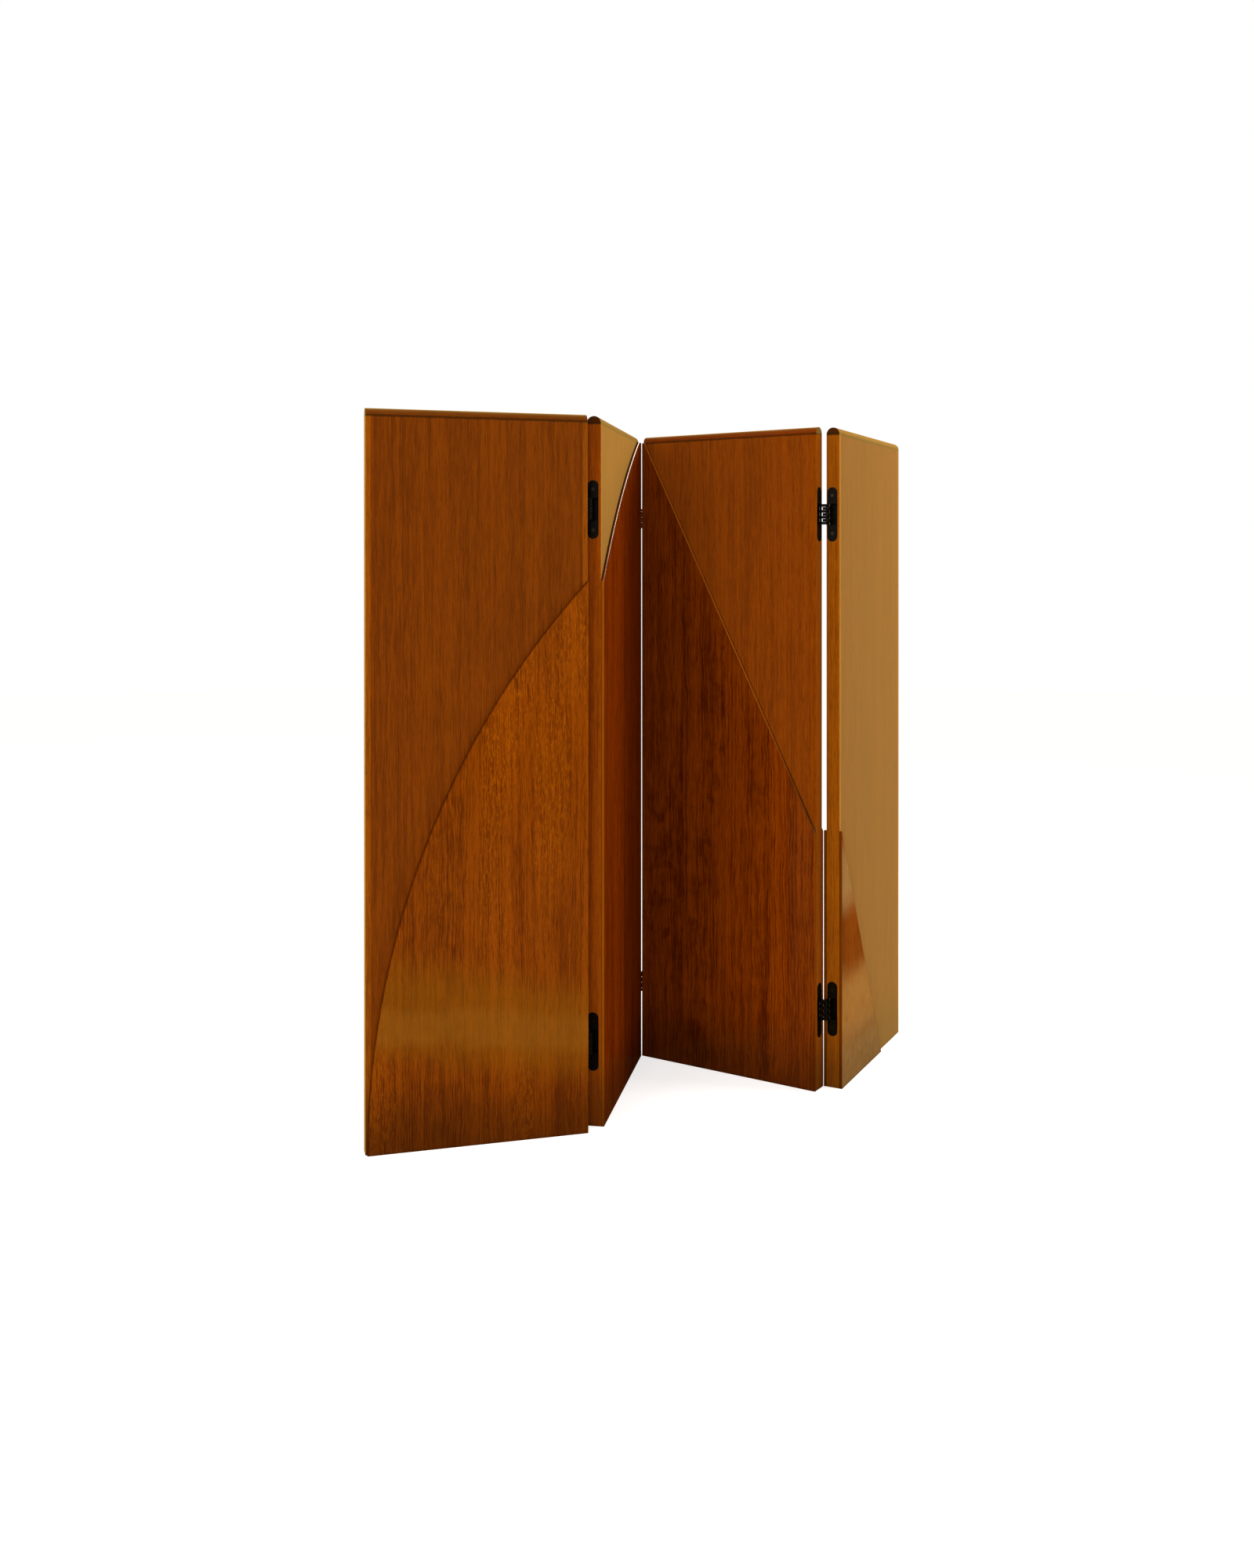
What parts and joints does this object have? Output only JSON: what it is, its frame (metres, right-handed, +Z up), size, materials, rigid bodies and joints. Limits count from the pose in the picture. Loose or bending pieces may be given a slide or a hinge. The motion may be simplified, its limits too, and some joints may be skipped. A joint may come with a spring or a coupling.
{
  "type": "folding screen",
  "caption": "Folding screen of hinged wooden panels with half-round top rails; raised wooden fields on both faces form a sector across the screen; concealed link hinges.",
  "frame": {"origin": "centre of the footprint's bounding box, on the floor", "axes": "+Z up; -Y is the side that the picture shows, and the first panel's long direction is turned 19 degrees from +X"},
  "size_m": [1.3354, 0.9903, 1.7],
  "materials": {
    "board_veneer": "honey-brown oak veneer, satin lacquer",
    "rail_wood": "solid oak, satin lacquer, darker end grain",
    "edge_wood": "solid oak strip, satin lacquer",
    "field_wood_1": "edge-glued red-brown staves, gloss lacquer",
    "field_wood_2": "dark red-brown wood, gloss lacquer",
    "field_wood_3": "dark straight-grained wood, gloss lacquer",
    "field_wood_4": "dark brown wood, gloss lacquer",
    "hinge_black": "black enamelled cast metal",
    "link_black": "black enamelled steel",
    "pin_steel": "plain steel",
    "screw_steel": "blackened steel"
  },
  "bodies": {
    "panel_1": {"panel_1_board": "board_veneer", "panel_1_top_rail": "rail_wood", "panel_1_left_edge": "edge_wood", "panel_1_right_edge": "edge_wood", "panel_1_front_field": "field_wood_1", "panel_1_back_field": "field_wood_1", "panel_1_hinge_screws": "screw_steel", "joint_1_left_low_cup": "hinge_black", "joint_1_left_high_cup": "hinge_black", "joint_1_left_pins": "pin_steel"},
    "panel_2": {"panel_2_board": "board_veneer", "panel_2_top_rail": "rail_wood", "panel_2_left_edge": "edge_wood", "panel_2_right_edge": "edge_wood", "panel_2_front_field": "field_wood_2", "panel_2_back_field": "field_wood_2", "panel_2_hinge_screws": "screw_steel", "joint_1_right_low_cup": "hinge_black", "joint_1_right_high_cup": "hinge_black", "joint_1_right_pins": "pin_steel", "joint_2_left_low_cup": "hinge_black", "joint_2_left_high_cup": "hinge_black", "joint_2_left_pins": "pin_steel"},
    "panel_3": {"panel_3_board": "board_veneer", "panel_3_top_rail": "rail_wood", "panel_3_left_edge": "edge_wood", "panel_3_right_edge": "edge_wood", "panel_3_front_field": "field_wood_3", "panel_3_back_field": "field_wood_3", "panel_3_hinge_screws": "screw_steel", "joint_2_right_low_cup": "hinge_black", "joint_2_right_high_cup": "hinge_black", "joint_2_right_pins": "pin_steel", "joint_3_left_low_cup": "hinge_black", "joint_3_left_high_cup": "hinge_black", "joint_3_left_pins": "pin_steel"},
    "panel_4": {"panel_4_board": "board_veneer", "panel_4_top_rail": "rail_wood", "panel_4_left_edge": "edge_wood", "panel_4_right_edge": "edge_wood", "panel_4_front_field": "field_wood_4", "panel_4_back_field": "field_wood_4", "panel_4_hinge_screws": "screw_steel", "joint_3_right_low_cup": "hinge_black", "joint_3_right_high_cup": "hinge_black", "joint_3_right_pins": "pin_steel"},
    "links_1_left": {"joint_1_left_links": "link_black", "joint_1_centre_pins": "pin_steel"},
    "links_1_right": {"joint_1_right_links": "link_black"},
    "links_2_left": {"joint_2_left_links": "link_black", "joint_2_centre_pins": "pin_steel"},
    "links_2_right": {"joint_2_right_links": "link_black"},
    "links_3_left": {"joint_3_left_links": "link_black", "joint_3_centre_pins": "pin_steel"},
    "links_3_right": {"joint_3_right_links": "link_black"}
  },
  "joints": [
    {"name": "left_swing_1", "type": "hinge", "parent": "panel_1", "child": "links_1_left", "pos_m": [-0.17928, -0.29596, 0.202], "axis": [0, 0, 1], "range_deg": [-57.6, 50.4]},
    {"name": "fold_1", "type": "hinge", "parent": "links_1_left", "child": "links_1_right", "pos_m": [-0.16153, -0.29608, 0.202], "axis": [0, 0, -1], "range_deg": [-51.2, 44.8]},
    {"name": "right_swing_1", "type": "hinge", "parent": "links_1_right", "child": "panel_2", "pos_m": [-0.16533, -0.27874, 0.202], "axis": [0, 0, 1], "range_deg": [-57.6, 50.4]},
    {"name": "left_swing_2", "type": "hinge", "parent": "panel_2", "child": "links_2_left", "pos_m": [-0.08197, 0.22788, 0.202], "axis": [0, 0, -1], "range_deg": [-100.8, 7.2]},
    {"name": "fold_2", "type": "hinge", "parent": "links_2_left", "child": "links_2_right", "pos_m": [-0.07287, 0.24313, 0.202], "axis": [0, 0, 1], "range_deg": [-89.6, 6.4]},
    {"name": "right_swing_2", "type": "hinge", "parent": "links_2_right", "child": "panel_3", "pos_m": [-0.05519, 0.24152, 0.202], "axis": [0, 0, -1], "range_deg": [-100.8, 7.2]},
    {"name": "left_swing_3", "type": "hinge", "parent": "panel_3", "child": "links_3_left", "pos_m": [0.40367, 0.01118, 0.202], "axis": [0, 0, 1], "range_deg": [-85.5, 22.5]},
    {"name": "fold_3", "type": "hinge", "parent": "links_3_left", "child": "links_3_right", "pos_m": [0.42031, 0.00497, 0.202], "axis": [0, 0, -1], "range_deg": [-76, 20]},
    {"name": "right_swing_3", "type": "hinge", "parent": "links_3_right", "child": "panel_4", "pos_m": [0.42985, 0.01994, 0.202], "axis": [0, 0, 1], "range_deg": [-85.5, 22.5]}
  ],
  "couplings": [
    {"joint": "left_swing_1", "follows": "fold_1", "ratio": 1.125},
    {"joint": "right_swing_1", "follows": "fold_1", "ratio": 1.125},
    {"joint": "left_swing_2", "follows": "fold_2", "ratio": 1.125},
    {"joint": "right_swing_2", "follows": "fold_2", "ratio": 1.125},
    {"joint": "left_swing_3", "follows": "fold_3", "ratio": 1.125},
    {"joint": "right_swing_3", "follows": "fold_3", "ratio": 1.125}
  ]
}
